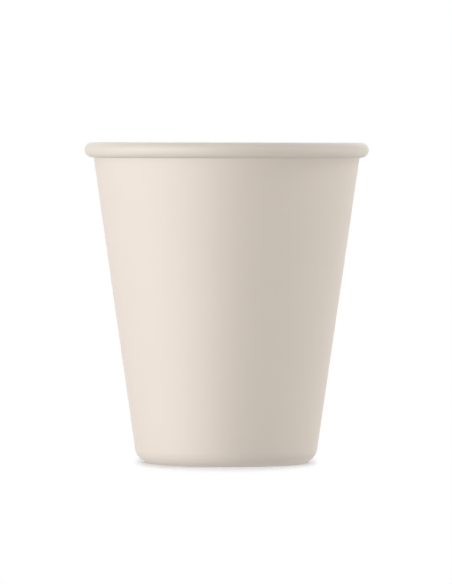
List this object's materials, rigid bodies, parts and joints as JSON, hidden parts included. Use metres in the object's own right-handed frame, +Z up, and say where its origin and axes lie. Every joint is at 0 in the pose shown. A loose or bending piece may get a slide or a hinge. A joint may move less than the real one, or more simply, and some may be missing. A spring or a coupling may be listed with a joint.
{
  "type": "reusable cup",
  "caption": "Tapered single-wall drinking cup, moulded in one piece, open at the top, with a round rim bead for a clip-on lid and a raised base inside a foot ring.",
  "frame": {"origin": "centre of the foot ring, on the surface that the cup stands on", "axes": "+Z up along the cup's axis towards the rim; the cup is round, so +X and +Y are any two directions square to it"},
  "size_m": [0.08, 0.08, 0.0902],
  "materials": {
    "cup_plastic": "satin"
  },
  "bodies": {
    "root": {"cup": "cup_plastic"}
  },
  "joints": []
}
